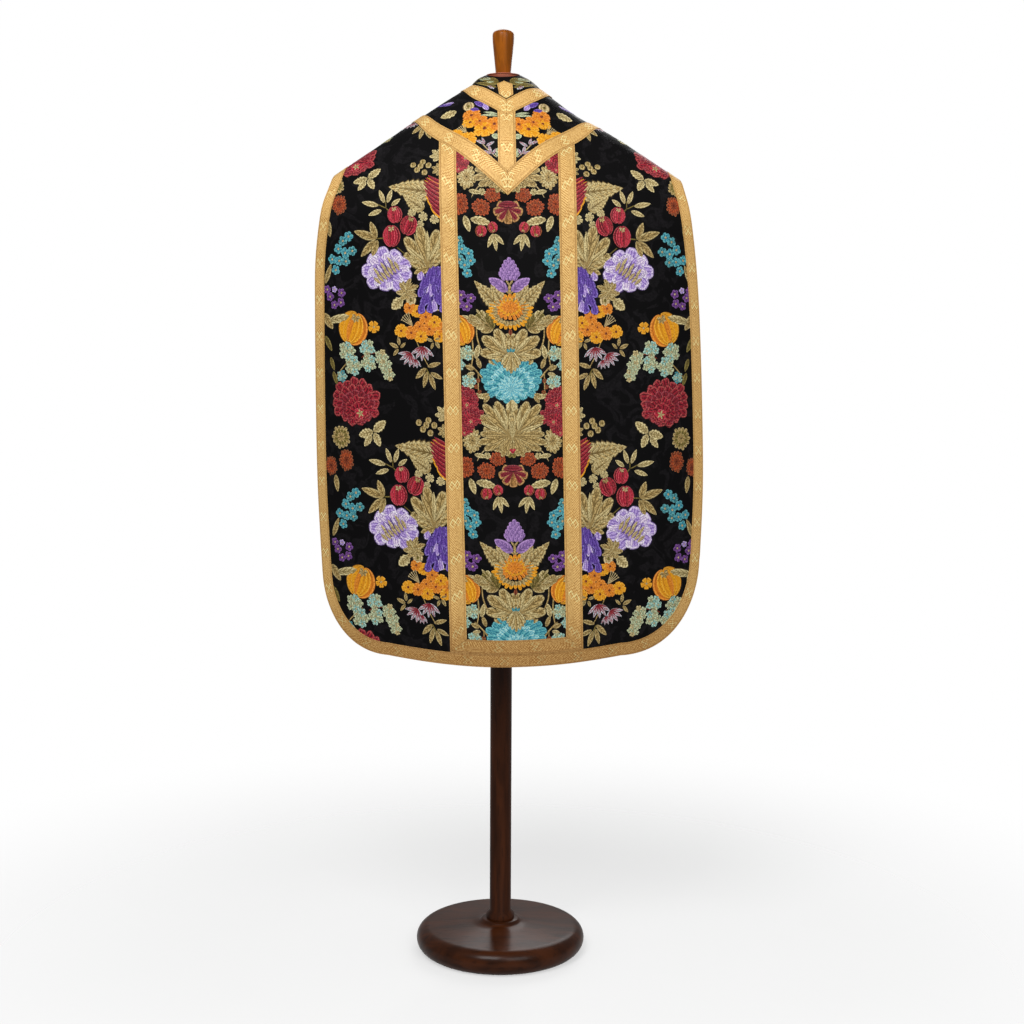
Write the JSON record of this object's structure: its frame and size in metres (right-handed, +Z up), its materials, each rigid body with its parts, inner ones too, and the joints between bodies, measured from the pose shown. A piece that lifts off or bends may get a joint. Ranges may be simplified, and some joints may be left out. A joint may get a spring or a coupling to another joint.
{
  "type": "roman chasuble on a dress form",
  "caption": "Sleeveless fiddleback vestment of lined black floral brocade with gold galloons, draped over a limbless dress form on a turned wood stand.",
  "frame": {"origin": "middle of the underside of the stand's base, on the floor", "axes": "+Z up along the stand, the garment's back faces -Y and its front faces +Y, X runs across the shoulders"},
  "size_m": [0.6676, 0.3038, 1.6125],
  "materials": {
    "brocade": "black lined silk brocade with woven flowers",
    "braid": "pale gold figured galloon",
    "linen": "matt ecru linen over a hard form",
    "honey_wood": "satin honey varnish",
    "red_wood": "satin reddish varnish",
    "dark_wood": "satin walnut varnish"
  },
  "bodies": {
    "root": {"back_yoke": "brocade", "back_column": "brocade", "back_side_left": "brocade", "back_side_right": "brocade", "front_yoke": "brocade", "front_column": "brocade", "front_side_left": "brocade", "front_side_right": "brocade", "neck_band": "brocade", "back_edge_galloon": "braid", "back_foot_galloon": "braid", "back_column_galloon_left": "braid", "back_yoke_galloon_left": "braid", "back_neck_galloon_left": "braid", "back_column_galloon_right": "braid", "back_yoke_galloon_right": "braid", "back_neck_galloon_right": "braid", "front_edge_galloon": "braid", "front_foot_galloon": "braid", "front_column_galloon_left": "braid", "front_yoke_galloon_left": "braid", "front_neck_galloon_left": "braid", "front_column_galloon_right": "braid", "front_yoke_galloon_right": "braid", "front_neck_galloon_right": "braid", "back_centre_galloon": "braid", "neck_tab": "braid", "form_torso": "linen", "form_neck_cap": "red_wood", "form_finial": "honey_wood", "stand_base": "dark_wood", "stand_pole": "dark_wood"}
  },
  "joints": []
}
